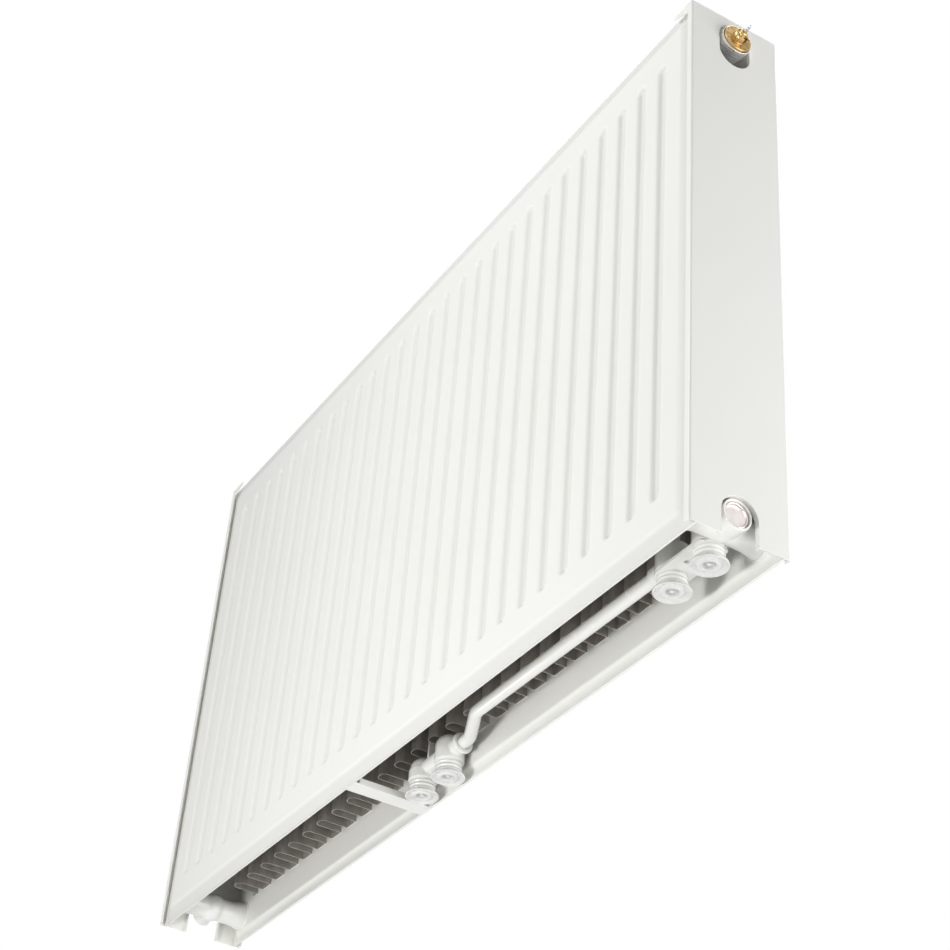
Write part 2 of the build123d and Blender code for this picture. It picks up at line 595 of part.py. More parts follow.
def tie_plate():
    """Flat plate that ties the right pair together, with a small hole between the nipples."""
    low, high = NIPPLE_LENGTH, NIPPLE_LENGTH + PLATE_THICK
    middle = (RIGHT_SUPPLY_X + RIGHT_RETURN_X) / 2
    length = PAIR_SPACING + 2 * PLATE_END
    outline = RectangleRounded(length, 2 * PLATE_HALF_WIDTH, PLATE_HALF_WIDTH - 1)
    for x in (-PAIR_SPACING / 2, PAIR_SPACING / 2):
        outline -= Pos(x, 0) * Circle(NIPPLE_NECK + PLATE_FIT)
    outline -= Pos(0, PLATE_HOLE_OFFSET) * Circle(PLATE_HOLE_RADIUS)
    plate = Pos(middle, 0, low) * extrude(outline, high - low)
    return plate - rod_y(TEE_FLARE, -DEPTH, DEPTH, TEE_X, LOW_PORT)


def middle_feed_body():
    """Domed body over the middle supply nipple, with a bore for the feed pipe's water."""
    x, y = MIDDLE_SUPPLY_X, MIDDLE_PAIR_Y
    body = body_column(x, y, NIPPLE_LENGTH, True)
    body -= rod_z(NIPPLE_BORE, NIPPLE_LENGTH - 1, PIPE_HEIGHT, x, y)
    return body - rod_x(PIPE_RADIUS - PIPE_WALL, x, x + 2 * BODY_RADIUS, y, PIPE_HEIGHT)


def middle_return_elbow():
    """Bulb over the middle return nipple, with a short arm to the rear panel."""
    x, y = MIDDLE_RETURN_X, MIDDLE_PAIR_Y
    elbow = rod_z(BODY_RADIUS, NIPPLE_LENGTH, PIPE_HEIGHT, x, y)
    elbow = fillet(elbow.edges().filter_by(GeomType.CIRCLE).sort_by(Axis.Z)[-1], BODY_WALL)
    elbow += Pos(x, y, PIPE_HEIGHT) * Sphere(BULB_RADIUS)
    elbow += rod_y(NECK_RADIUS, y, INNER_Y, x, PIPE_HEIGHT)
    elbow -= rod_z(NIPPLE_BORE, 0, PIPE_HEIGHT, x, y)
    return elbow - rod_y(PIPE_RADIUS, y, INNER_Y + 1, x, PIPE_HEIGHT)


def middle_neck():
    """Solid bar that ties the return elbow to the feed body."""
    y = MIDDLE_PAIR_Y
    neck = rod_x(NECK_RADIUS, MIDDLE_RETURN_X, MIDDLE_SUPPLY_X, y, PIPE_HEIGHT)
    neck -= rod_z(BODY_RADIUS, 0, HEIGHT, MIDDLE_SUPPLY_X, y)
    neck -= rod_z(BODY_RADIUS, 0, PIPE_HEIGHT, MIDDLE_RETURN_X, y)
    neck -= Pos(MIDDLE_RETURN_X, y, PIPE_HEIGHT) * Sphere(BULB_RADIUS)
    return neck.solids().sort_by(SortBy.VOLUME)[-1]


def middle_ear():
    """Thin upright tab with a round top, standing on the neck."""
    centre = MIDDLE_PAIR_Y + EAR_SHIFT
    tall = EAR_TOP - EAR_HALF_WIDTH - PIPE_HEIGHT
    outline = Circle(EAR_HALF_WIDTH) + Pos(0, -tall / 2) * Rectangle(2 * EAR_HALF_WIDTH, tall)
    ear = extrude(Plane.YZ * (Pos(centre, EAR_TOP - EAR_HALF_WIDTH) * outline), EAR_THICK)
    ear = Pos(MIDDLE_PAIR_X + EAR_ASIDE - EAR_THICK / 2, 0, 0) * ear
    return ear - rod_x(NECK_RADIUS, MIDDLE_RETURN_X, MIDDLE_SUPPLY_X, MIDDLE_PAIR_Y, PIPE_HEIGHT)


def feed_pipe():
    """Long pipe from the right supply body to the middle feed body, stepping towards the rear."""
    x_end = MIDDLE_SUPPLY_X + BODY_RADIUS
    start = RIGHT_SUPPLY_X - BODY_RADIUS
    points = [(start, 0, PIPE_HEIGHT),
              (x_end + DOGLEG_RUN_IN + DOGLEG_LENGTH, 0, PIPE_HEIGHT),
              (x_end + DOGLEG_RUN_IN, MIDDLE_PAIR_Y, PIPE_HEIGHT),
              (x_end + PIPE_FIT, MIDDLE_PAIR_Y, PIPE_HEIGHT)]
    return pipe(points, PIPE_BEND, (-1, 0, 0))


def pipe_collar():
    """Beaded collar round the feed pipe where it meets the middle feed body."""
    y = MIDDLE_PAIR_Y
    base = MIDDLE_SUPPLY_X
    end = base + BODY_RADIUS + COLLAR_LENGTH
    outer = PIPE_RADIUS + COLLAR_WALL
    collar = rod_x(outer, base, end, y, PIPE_HEIGHT)
    collar += Pos(end - BEAD_RADIUS, y, PIPE_HEIGHT) * Rot(0, 90, 0) * Torus(outer, BEAD_RADIUS)
    collar -= rod_x(PIPE_RADIUS + PIPE_FIT, base, end + BEAD_RADIUS, y, PIPE_HEIGHT)
    collar -= rod_z(BODY_RADIUS, 0, HEIGHT, MIDDLE_SUPPLY_X, y)
    return collar.solids().sort_by(SortBy.VOLUME)[-1]


def riser_pipe():
    """Pipe from the right supply body up to the valve tee."""
    x = RIGHT_SUPPLY_X
    points = [(x, 0, BODY_TOP - SOCKET_DEPTH), (x, 0, HIGH_PORT), (END_X + INSERT_BACK - PIPE_FIT, 0, HIGH_PORT)]
    return pipe(points, RISER_BEND, (0, 0, 1))


def bottom_strap():
    """Shallow channel between the panels' bottom seams, open upwards."""
    reach = SEAM_Y - SHEET
    x = (STRAP_X - STRAP_WIDTH / 2, STRAP_X + STRAP_WIDTH / 2)
    z = (STRAP_LIFT, STRAP_LIFT + STRAP_HEIGHT)
    strap = block(x, (-reach, reach), (z[0], z[0] + STRAP_SHEET))
    side_reach = INNER_Y - STRAP_SHEET
    for low in (x[0], x[1] - STRAP_SHEET):
        strap += block((low, low + STRAP_SHEET), (-side_reach, side_reach), z)
    return strap


def hanging_lugs():
    """Four bridge-shaped lugs on the rear panel's channels, open above and below for hooks."""
    offset = END_X - LUG_FROM_END
    span = 2 * PITCH - LUG_FOOT
    back = FACE_Y + LUG_CLEAR + LUG_SHEET
    lugs = []
    for side in (-1, 1):
        x = min(CHANNEL_X, key=lambda channel: abs(channel - side * offset))
        for z in (LUG_FROM_SEAM, HEIGHT - LUG_FROM_SEAM):
            height = (z - LUG_HEIGHT / 2, z + LUG_HEIGHT / 2)
            lug = block((x - span / 2, x + span / 2), (back - LUG_SHEET, back), height)
            for foot in (-1, 1):
                centre = x + foot * PITCH
                lug += block((centre - LUG_FOOT / 2, centre + LUG_FOOT / 2),
                             (FACE_Y, FACE_Y + LUG_SHEET), height)
                near = x + foot * span / 2
                wall = sorted((near, near - foot * LUG_SHEET))
                lug += block(wall, (FACE_Y, back), height)
            lugs.append(lug)
    return Compound(children=lugs)


def valve_collar():
    """Collar that screws into the valve tee, holds the insert and carries a thermostat head."""
    rim, back = END_X + VALVE_RIM, END_X + COLLAR_BACK
    flange_back = END_X + INSERT_FLANGE_BACK
    ring_seat = END_X + INSERT_FLANGE_FRONT
    collar = rod_x(COLLAR_RADIUS, back, rim, 0, HIGH_PORT)
    collar += rod_x(SPIGOT_RADIUS - PLUG_CLEARANCE, END_X + SPIGOT_BACK, back, 0, HIGH_PORT)
    collar -= rod_x(INSERT_RADIUS + INSERT_FIT, END_X + SPIGOT_BACK - 1, rim, 0, HIGH_PORT)
    collar -= rod_x(INSERT_FLANGE_RADIUS + INSERT_FIT, flange_back, rim, 0, HIGH_PORT)
    collar -= rod_x(RING_RADIUS + RING_GAP, ring_seat, rim + 1, 0, HIGH_PORT)
    groove = END_X + SNAP_GROOVE_AT
    collar -= (rod_x(COLLAR_RADIUS + 1, groove, groove + SNAP_GROOVE_WIDTH, 0, HIGH_PORT)
               - rod_x(COLLAR_RADIUS - SNAP_GROOVE_DEPTH, groove, groove + SNAP_GROOVE_WIDTH, 0, HIGH_PORT))
    hole = Pos(END_X + PIN_HOLE_AT, 0, HIGH_PORT) * Rot(PIN_HOLE_ANGLE - 90, 0, 0) * Pos(0, 0, COLLAR_RADIUS)
    return collar - hole * Cylinder(PIN_HOLE_RADIUS, 2)


def collar_seal():
    """Flat ring between the valve tee and the collar's spigot."""
    inner = SPIGOT_RADIUS
    outer = STUB_RADIUS
    back = END_X + COLLAR_BACK - SEAL_THICK
    seal = rod_x(outer, back, back + SEAL_THICK, 0, HIGH_PORT)
    return seal - rod_x(inner, back - 1, back + 2, 0, HIGH_PORT)


def insert_body():
    """Brass insert: seat, flow windows, spring chamber and flange."""
    back, front = END_X + INSERT_BACK, END_X + INSERT_FLANGE_FRONT
    flange = END_X + INSERT_FLANGE_BACK
    body = rod_x(INSERT_RADIUS, back, front, 0, HIGH_PORT)
    body += rod_x(INSERT_FLANGE_RADIUS, flange, front, 0, HIGH_PORT)
    body -= rod_x(INSERT_CHAMBER, back + SEAT_THICK, front - INSERT_END_WALL, 0, HIGH_PORT)
    body -= rod_x(SEAT_RADIUS, back - 1, back + SEAT_THICK + 1, 0, HIGH_PORT)
    body -= rod_x(STEM_RADIUS + INSERT_FIT, front - INSERT_END_WALL - 1, front + 1, 0, HIGH_PORT)
    window = END_X + WINDOW_BACK
    half = WINDOW_WIDTH / 2
    body -= block((window, window + WINDOW_LENGTH), (-STUB_RADIUS, STUB_RADIUS), (HIGH_PORT - half, HIGH_PORT + half))
    return body


def spring_seat():
    """Washer in the insert's chamber that the return spring stands on."""
    seat = END_X + SPRING_SEAT
    washer = rod_x(INSERT_CHAMBER - INSERT_FIT / 2, seat - SEAT_PLATE, seat, 0, HIGH_PORT)
    return washer - rod_x(STEM_RADIUS + PIN_GAP, seat - 2 * SEAT_PLATE, seat + 1, 0, HIGH_PORT)


def pin_back():
    """Inner end of the pin, which stands on the stem."""
    return END_X + INSERT_FLANGE_FRONT - INSERT_END_WALL - STEM_STOP_GAP


def stem_collar_back():
    """Inner face of the stem's collar, which the spring pushes on."""
    return pin_back() - STEM_COLLAR_THICK


def valve_stem():
    """Stem with a collar for the spring; the cone sits on its inner end."""
    collar = stem_collar_back()
    stem = rod_x(STEM_RADIUS, END_X + STEM_BACK, pin_back(), 0, HIGH_PORT)
    return stem + rod_x(STEM_COLLAR_RADIUS, collar, collar + STEM_COLLAR_THICK, 0, HIGH_PORT)


def return_spring():
    """Coil spring between its seat and the stem's collar."""
    low = END_X + SPRING_SEAT + SPRING_WIRE / 2
    high = stem_collar_back() - SPRING_WIRE / 2
    path = Helix((high - low) / SPRING_TURNS, high - low, SPRING_RADIUS)
    wire = Plane(path @ 0, z_dir=path % 0) * Circle(SPRING_WIRE / 2)
    coil = sweep(wire, path=path, is_frenet=True)
    return Pos(low, 0, HIGH_PORT) * Rot(0, 90, 0) * coil


def sealing_cone():
    """Rubber disc on the stem's inner end that closes on the insert's seat."""
    face = END_X + STEM_BACK
    return rod_x(CONE_RADIUS, face - CONE_THICK, face, 0, HIGH_PORT)


def valve_pin():
    """Steel pin that a thermostat head pushes, with a domed tip."""
    tip = END_X + PIN_TIP
    pin = rod_x(PIN_RADIUS, pin_back(), tip, 0, HIGH_PORT)
    return fillet(pin.edges().sort_by(Axis.X)[-1], PIN_RADIUS * 0.6)


def preset_ring():
    """Brass ring that sets the flow, with a slotted boss round the gland."""
    back, face, boss = END_X + RING_BACK, END_X + RING_FACE, END_X + BOSS_FACE
    bore = GLAND_RADIUS + GLAND_GAP
    profile = [(back, bore), (back, RING_RADIUS), (face - RING_BEVEL, RING_RADIUS),
               (face, RING_RADIUS - RING_BEVEL), (face, BOSS_RADIUS), (boss, BOSS_RADIUS), (boss, bore)]
    ring = turned_x(profile, 0, HIGH_PORT)
    half = BOSS_SLOT / 2
    slot = block((boss - BOSS_SLOT_DEPTH, boss + 1), (-half, half),
                 (HIGH_PORT - 2 * BOSS_RADIUS, HIGH_PORT + 2 * BOSS_RADIUS))
    return ring - slot


def valve_gland():
    """Brass gland through the preset ring, with a pocket for the stem's O-ring."""
    back, face = END_X + INSERT_FLANGE_FRONT, END_X + GLAND_FACE
    pocket = END_X + GLAND_POCKET_AT
    gland = rod_x(GLAND_RADIUS, back, face, 0, HIGH_PORT)
    gland = chamfer(gland.edges().filter_by(GeomType.CIRCLE).sort_by(Axis.X)[-1], RING_BEVEL)
    gland -= rod_x(PIN_RADIUS + PIN_GAP, back - 1, face + 1, 0, HIGH_PORT)
    return gland - rod_x(GLAND_POCKET_RADIUS, pocket, pocket + GLAND_POCKET_LENGTH, 0, HIGH_PORT)


def stem_o_ring():
    middle = END_X + GLAND_POCKET_AT + GLAND_POCKET_LENGTH / 2
    radius = (PIN_RADIUS + PIN_GAP + GLAND_POCKET_RADIUS) / 2
    return ring_x(radius, ORING_WIRE, middle, 0, HIGH_PORT)


def mirrored_pair(piece):
    """A right-hand piece and its left-hand mirror image."""
    return mirror(piece, Plane.YZ), piece


outer_sheet = pressed_sheet(OUTER_CREASE, OUTER_FOOT)
inner_sheet = pressed_sheet(INNER_CREASE, INNER_FOOT)
for port in (LOW_PORT, HIGH_PORT):
    for side in (-1, 1):
        inner_sheet -= rod_y(TEE_BORE, -DEPTH, DEPTH, side * TEE_X, port)
rear_return_hole = rod_y(PIPE_RADIUS, 0, DEPTH, MIDDLE_RETURN_X, PIPE_HEIGHT)
rear_outer = Pos(0, SEAM_Y, 0) * outer_sheet
front_inner = Pos(0, -SEAM_Y, 0) * inner_sheet
front_convector = Pos(0, -INNER_Y, 0) * convector()
left_cover, right_cover = mirrored_pair(side_cover())
lower_left_plug, lower_right_plug = mirrored_pair(plug(LOW_PORT, 0))
lower_left_seal, lower_right_seal = mirrored_pair(plug_seal(LOW_PORT))

nodes = {
    "front_outer_sheet": mirror(rear_outer, Plane.XZ),
    "front_inner_sheet": front_inner,
    "rear_inner_sheet": mirror(front_inner, Plane.XZ) - rear_return_hole,
    "rear_outer_sheet": rear_outer,
    "front_convector": front_convector,
    "rear_convector": mirror(front_convector, Plane.XZ),
    "top_grille": top_grille(),
    "left_side_cover": left_cover,
    "right_side_cover": right_cover,
    "lower_left_tee": mirror(corner_tee(LOW_PORT), Plane.YZ),
    "lower_right_tee": corner_tee(LOW_PORT, CUT_IN_BULB),
    "upper_left_tee": mirror(corner_tee(HIGH_PORT), Plane.YZ),
    "valve_tee": valve_tee(),
    "lower_left_plug": lower_left_plug,
    "lower_right_plug": lower_right_plug,
    "lower_left_plug_seal": lower_left_seal,
    "lower_right_plug_seal": lower_right_seal,
    "vent_plug": mirror(plug(HIGH_PORT, BLEED_RADIUS), Plane.YZ),
    "vent_plug_seal": mirror(plug_seal(HIGH_PORT), Plane.YZ),
    "bleed_screw": mirror(bleed_screw(HIGH_PORT), Plane.YZ),
    "feed_pipe": feed_pipe(),
    "pipe_collar": pipe_collar(),
    "riser_pipe": riser_pipe(),
    "right_supply_body": right_supply_body(),
    "right_return_body": right_return_body(),
    "tie_plate": tie_plate(),
    "middle_feed_body": middle_feed_body(),
    "middle_return_elbow": middle_return_elbow(),
    "middle_neck": middle_neck(),
    "middle_ear": middle_ear(),
    "bottom_strap": bottom_strap(),
    "hanging_lugs": hanging_lugs(),
    "valve_collar": valve_collar(),
    "collar_seal": collar_seal(),
    "insert_body": insert_body(),
    "spring_seat": spring_seat(),
    "valve_stem": valve_stem(),
    "return_spring": return_spring(),
    "sealing_cone": sealing_cone(),
    "valve_pin": valve_pin(),
    "preset_ring": preset_ring(),
    "valve_gland": valve_gland(),
    "stem_o_ring": stem_o_ring(),
}
connections = {
    "right_supply": (RIGHT_SUPPLY_X, 0, NIPPLE_LENGTH + PLATE_THICK),
    "right_return": (RIGHT_RETURN_X, 0, NIPPLE_LENGTH + PLATE_THICK),
    "middle_supply": (MIDDLE_SUPPLY_X, MIDDLE_PAIR_Y, NIPPLE_LENGTH),
    "middle_return": (MIDDLE_RETURN_X, MIDDLE_PAIR_Y, NIPPLE_LENGTH),
}
for name, (x, y, top) in connections.items():
    nodes[name + "_nipple"] = connection_nipple(x, y, top)
    nodes[name + "_cap"] = protective_cap(x, y)
nodes["right_return_nipple"] -= tee_outside(LOW_PORT, CUT_IN_BULB)

os.makedirs("parts", exist_ok=True)
for name, piece in nodes.items():
    export_step(Pos(0, MIDDLE_Y, 0) * piece, f"parts/{name}.step")
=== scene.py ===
import json
import math

import bpy
from mathutils import Matrix, Vector

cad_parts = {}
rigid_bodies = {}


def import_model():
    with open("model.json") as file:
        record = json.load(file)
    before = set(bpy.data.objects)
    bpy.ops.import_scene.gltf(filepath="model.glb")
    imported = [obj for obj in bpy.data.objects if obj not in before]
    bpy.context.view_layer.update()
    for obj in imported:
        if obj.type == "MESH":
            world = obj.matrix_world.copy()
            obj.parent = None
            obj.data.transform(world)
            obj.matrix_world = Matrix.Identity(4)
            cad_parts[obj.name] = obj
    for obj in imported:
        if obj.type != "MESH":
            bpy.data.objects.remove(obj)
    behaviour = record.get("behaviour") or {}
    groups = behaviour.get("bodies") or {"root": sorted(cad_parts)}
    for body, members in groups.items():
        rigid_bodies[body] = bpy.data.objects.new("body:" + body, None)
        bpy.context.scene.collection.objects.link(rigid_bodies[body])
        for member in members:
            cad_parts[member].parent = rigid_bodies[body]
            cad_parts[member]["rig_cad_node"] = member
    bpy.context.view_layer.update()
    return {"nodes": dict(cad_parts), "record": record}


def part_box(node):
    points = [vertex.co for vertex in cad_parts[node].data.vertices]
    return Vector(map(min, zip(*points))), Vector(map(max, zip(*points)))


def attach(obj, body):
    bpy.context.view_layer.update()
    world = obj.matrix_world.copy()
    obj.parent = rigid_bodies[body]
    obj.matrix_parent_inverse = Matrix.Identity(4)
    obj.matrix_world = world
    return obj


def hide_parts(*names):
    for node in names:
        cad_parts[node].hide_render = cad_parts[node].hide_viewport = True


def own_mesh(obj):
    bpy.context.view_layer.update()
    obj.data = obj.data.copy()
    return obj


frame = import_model()
nodes = frame["nodes"]
record = frame["record"]
body_of_node = {node: body for body, members in record["behaviour"]["bodies"].items() for node in members}
slot_of_node = {row["node"]: row["material_slot"] for row in record["subparts"]}
mounts = {row["name"]: row for row in record["mounts"]}

# Places and sizes taken from the frame, in metres
MM = 0.001
_, MID_Y, HIGH_PORT = mounts["thermostat_seat"]["pos_m"]
END_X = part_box("right_side_cover")[1][0]
VALVE = (END_X, MID_Y, HIGH_PORT)
TEE_LOW, TEE_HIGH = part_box("lower_left_tee")
TEE_RADIUS = (TEE_HIGH[2] - TEE_LOW[2]) / 2
TEE_X = TEE_RADIUS - TEE_HIGH[0]
LOW_PORT = TEE_LOW[2] + TEE_RADIUS
FRONT_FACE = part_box("front_outer_sheet")[0][1]

# Groups of frame nodes
CONNECTIONS = ("right_supply", "right_return", "middle_supply", "middle_return")
MIDDLE_CASTING = ("middle_feed_body", "middle_return_elbow", "middle_neck", "pipe_collar")
CASTINGS = ("right_supply_body", "right_return_body", "lower_left_tee", "lower_right_tee",
            "upper_left_tee", "valve_tee")
CONVECTORS = ("front_convector", "rear_convector")
THICKLY_PAINTED = ("feed_pipe", "riser_pipe", "tie_plate", "middle_ear", *MIDDLE_CASTING, *CASTINGS,
                   *(label + "_nipple" for label in CONNECTIONS))

# Modelling limits
MERGE_DISTANCE = 0.002 * MM
FLAT_WITHIN = math.radians(0.4)     # between faces that count as one
BROKEN_ABOVE = math.radians(35)     # at an edge that gets broken
ROUND_SIDES = 96

# Width of broken edges on folded and cut sheet, in millimetres
EDGE_ROUND = {"left_side_cover": 0.3, "right_side_cover": 0.3, "tie_plate": 0.4, "bottom_strap": 0.3,
              "middle_ear": 1.1}

# Thread of the connections, in millimetres
NIPPLE_BORE = 9.1
NIPPLE_NECK = 12.4                  # radius above the thread
THREAD_ROOT = 12.3
THREAD_START = 0.8
THREAD_END = 12.4
THREAD_RIDGES = 3
RIDGE_PITCH = 3.9
RIDGE_WIDTH = 3.2
RIDGE = ((0.7, 0.35), (1.2, 0.05), (1.6, 0.0), (2.0, 0.05), (2.5, 0.35))  # place, depth under the crest

# Preset ring and its scale, in millimetres and degrees
RING_FACE = 6.5
SLOT_FLOOR = 8.0
SLOT_TOP = 14.0
SLOT_WIDTH = 4.6
SLOT_LENGTH = 40.0
SLOT_TURN = -42
SCALE_NUMBERS = 7
SCALE_START = 20
NUMBER_TURN = 50
NUMBER_RADIUS = 9.9
NUMBER_HEIGHT = 2.7
INK_THICKNESS = 0.1
MARK_THICKNESS = 0.3
MARK_WIDTH = 0.55
LONG_MARK = (2.4, 12.6)             # length, radius of its middle
SHORT_MARK = (1.4, 13.1)

# Locking hole of the collar, in millimetres and degrees
HOLE_RADIUS = 0.9
HOLE_DEPTH = 3.0
HOLE_FROM_FACE = 2.5
HOLE_TURN = 260

# Weld beads, in millimetres
WELD_THICKNESS = 1.3
WELD_LUMPS = 0.35

# White enamel, and the painted shade that greys it in the front panel's grooves
ENAMEL = ((0.894, 0.892, 0.854), (0.902, 0.900, 0.864))
PAINTED_GROOVE_SHADE = 0.12
GROOVE_FROM = 0.4 * MM              # depth behind the panel's face
GROOVE_TO = 2.6 * MM


# Finishes

def blank_finish(name, metallic=0.0, coat=0.0):
    """A new finish and its shader."""
    finish = bpy.data.materials.new(name)
    finish.use_nodes = True
    shader = finish.node_tree.nodes["Principled BSDF"]
    shader.inputs["Metallic"].default_value = metallic
    shader.inputs["Coat Weight"].default_value = coat
    return finish, shader


def add_node(finish, kind, **settings):
    node = finish.node_tree.nodes.new(kind)
    for key, value in settings.items():
        setattr(node, key, value)
    return node


def grain(finish, scale, stretch=(1, 1, 1), detail=3.0):
    """Cloudy pattern on the piece's own coordinates; a larger stretch makes it finer along that axis."""
    tree = finish.node_tree
    place = add_node(finish, "ShaderNodeTexCoord")
    mapping = add_node(finish, "ShaderNodeMapping")
    mapping.inputs["Scale"].default_value = stretch
    noise = add_node(finish, "ShaderNodeTexNoise")
    noise.inputs["Scale"].default_value = scale
    noise.inputs["Detail"].default_value = detail
    tree.links.new(place.outputs["Object"], mapping.inputs["Vector"])
    tree.links.new(mapping.outputs["Vector"], noise.inputs["Vector"])
    return noise.outputs["Fac"]


def colour_between(finish, shader, pattern, first, second):
    ramp = add_node(finish, "ShaderNodeValToRGB")
    for stop, position, colour in zip(ramp.color_ramp.elements, (0.35, 0.65), (first, second)):
        stop.position = position
        stop.color = (*colour, 1)
    finish.node_tree.links.new(pattern, ramp.inputs["Fac"])
    finish.node_tree.links.new(ramp.outputs["Color"], shader.inputs["Base Color"])


def roughness_between(finish, shader, pattern, low, high):
    spread = add_node(finish, "ShaderNodeMapRange")
    for socket, value in (("From Min", 0.3), ("From Max", 0.7), ("To Min", low), ("To Max", high)):
        spread.inputs[socket].default_value = value
    finish.node_tree.links.new(pattern, spread.inputs["Value"])
    finish.node_tree.links.new(spread.outputs["Result"], shader.inputs["Roughness"])


def relief(finish, shader, pattern, strength, depth):
    """Bump of the given depth in millimetres."""
    bump = add_node(finish, "ShaderNodeBump")
    bump.inputs["Strength"].default_value = strength
    bump.inputs["Distance"].default_value = depth * MM
    finish.node_tree.links.new(pattern, bump.inputs["Height"])
    finish.node_tree.links.new(bump.outputs["Normal"], shader.inputs["Normal"])


def powder_paint():
    """Warm white stove enamel with a faint orange peel."""
    finish, shader = blank_finish("powder_paint", coat=0.2)
    shader.inputs["Coat Roughness"].default_value = 0.07
    colour_between(finish, shader, grain(finish, scale=9.0), *ENAMEL)
    roughness_between(finish, shader, grain(finish, scale=18.0, detail=1.0), low=0.28, high=0.31)
    relief(finish, shader, grain(finish, scale=240.0, detail=1.0), strength=0.02, depth=0.3)
    return finish


def panel_paint_with_painted_groove_shade():
    """Satin enamel on the front panel, with shade painted into its colour where the surface lies behind the
    panel's face, as in the pressed grooves.
    """
    finish, shader = blank_finish("panel_paint_with_painted_groove_shade")
    shader.inputs["Specular IOR Level"].default_value = 0.35
    colour_between(finish, shader, grain(finish, scale=9.0), *ENAMEL)
    roughness_between(finish, shader, grain(finish, scale=18.0, detail=1.0), low=0.46, high=0.54)
    links = finish.node_tree.links
    plain = shader.inputs["Base Color"].links[0].from_socket
    place = add_node(finish, "ShaderNodeTexCoord")
    split = add_node(finish, "ShaderNodeSeparateXYZ")
    links.new(place.outputs["Object"], split.inputs["Vector"])
    # painted shade: the colour darkens with depth behind the panel's face, standing in for the shade in the
    # grooves
    depth = add_node(finish, "ShaderNodeMapRange", interpolation_type="SMOOTHSTEP")
    depth.inputs["From Min"].default_value = FRONT_FACE + GROOVE_FROM
    depth.inputs["From Max"].default_value = FRONT_FACE + GROOVE_TO
    depth.inputs["To Max"].default_value = PAINTED_GROOVE_SHADE
    links.new(split.outputs["Y"], depth.inputs["Value"])
    painted_shade = add_node(finish, "ShaderNodeMix", data_type="RGBA", blend_type="MULTIPLY")
    painted_shade.inputs["B"].default_value = (0, 0, 0, 1)
    links.new(depth.outputs["Result"], painted_shade.inputs["Factor"])
    links.new(plain, painted_shade.inputs["A"])
    links.new(painted_shade.outputs["Result"], shader.inputs["Base Color"])
    return finish


def dipped_paint():
    """The same white where it lies thick and glossy on cast and welded pieces."""
    finish, shader = blank_finish("dipped_paint", coat=0.5)
    shader.inputs["Coat Roughness"].default_value = 0.05
    colour_between(finish, shader, grain(finish, scale=25.0), (0.835, 0.835, 0.805), (0.865, 0.865, 0.835))
    roughness_between(finish, shader, grain(finish, scale=70.0), low=0.18, high=0.28)
    relief(finish, shader, grain(finish, scale=160.0, detail=2.0), strength=0.12, depth=0.6)
    return finish


def convector_primer():
    """The convectors' thin grey-brown primer, with streaks along the rolling direction."""
    finish, shader = blank_finish("convector_primer")
    streaks = grain(finish, scale=30.0, stretch=(3, 3, 0.25))
    colour_between(finish, shader, streaks, (0.33, 0.308, 0.28), (0.46, 0.434, 0.40))
    roughness_between(finish, shader, grain(finish, scale=120.0), low=0.40, high=0.58)
    relief(finish, shader, grain(finish, scale=1400.0), strength=0.08, depth=0.2)
    return finish


def bare_edge_with_painted_highlight():
    """Cut edge of the convector sheet: bare metal, made brighter still as a painted highlight where the
    edges catch the light.
    """
    finish, shader = blank_finish("bare_edge_with_painted_highlight")
    # painted highlight: far lighter than the primer, partly bare cut metal and partly light caught by the
    # edges
    colour_between(finish, shader, grain(finish, scale=400.0), (0.62, 0.59, 0.55), (0.78, 0.755, 0.72))
    roughness_between(finish, shader, grain(finish, scale=300.0), low=0.30, high=0.50)
    return finish


def turned_metal(name, first, second, low, high, metallic=1.0):
    """Metal turned about the X axis, with faint tool marks round it."""
    finish, shader = blank_finish(name, metallic)
    colour_between(finish, shader, grain(finish, scale=60.0), first, second)
    marks = grain(finish, scale=80.0, stretch=(40, 0.6, 0.6))
    roughness_between(finish, shader, marks, low, high)
    relief(finish, shader, marks, strength=0.04, depth=0.2)
    return finish


def soft_rubber():
    """Black rubber of the seals, also used for the scale's ink."""
    finish, shader = blank_finish("seal_rubber")
    colour_between(finish, shader, grain(finish, scale=300.0), (0.012, 0.012, 0.012), (0.03, 0.03, 0.029))
    roughness_between(finish, shader, grain(finish, scale=500.0), low=0.55, high=0.75)
    return finish


def milky_plastic():
    """Milky moulded plastic of the protective caps."""
    finish, shader = blank_finish("milky_cap_plastic")
    shader.inputs["Subsurface Weight"].default_value = 0.2
    shader.inputs["Subsurface Radius"].default_value = (3 * MM, 3 * MM, 3 * MM)
    colour_between(finish, shader, grain(finish, scale=90.0), (0.72, 0.72, 0.70), (0.78, 0.78, 0.76))
    roughness_between(finish, shader, grain(finish, scale=200.0), low=0.22, high=0.36)
    relief(finish, shader, grain(finish, scale=700.0), strength=0.03, depth=0.2)
    return finish


black_rubber = soft_rubber()
bare_edge_and_highlight = bare_edge_with_painted_highlight()
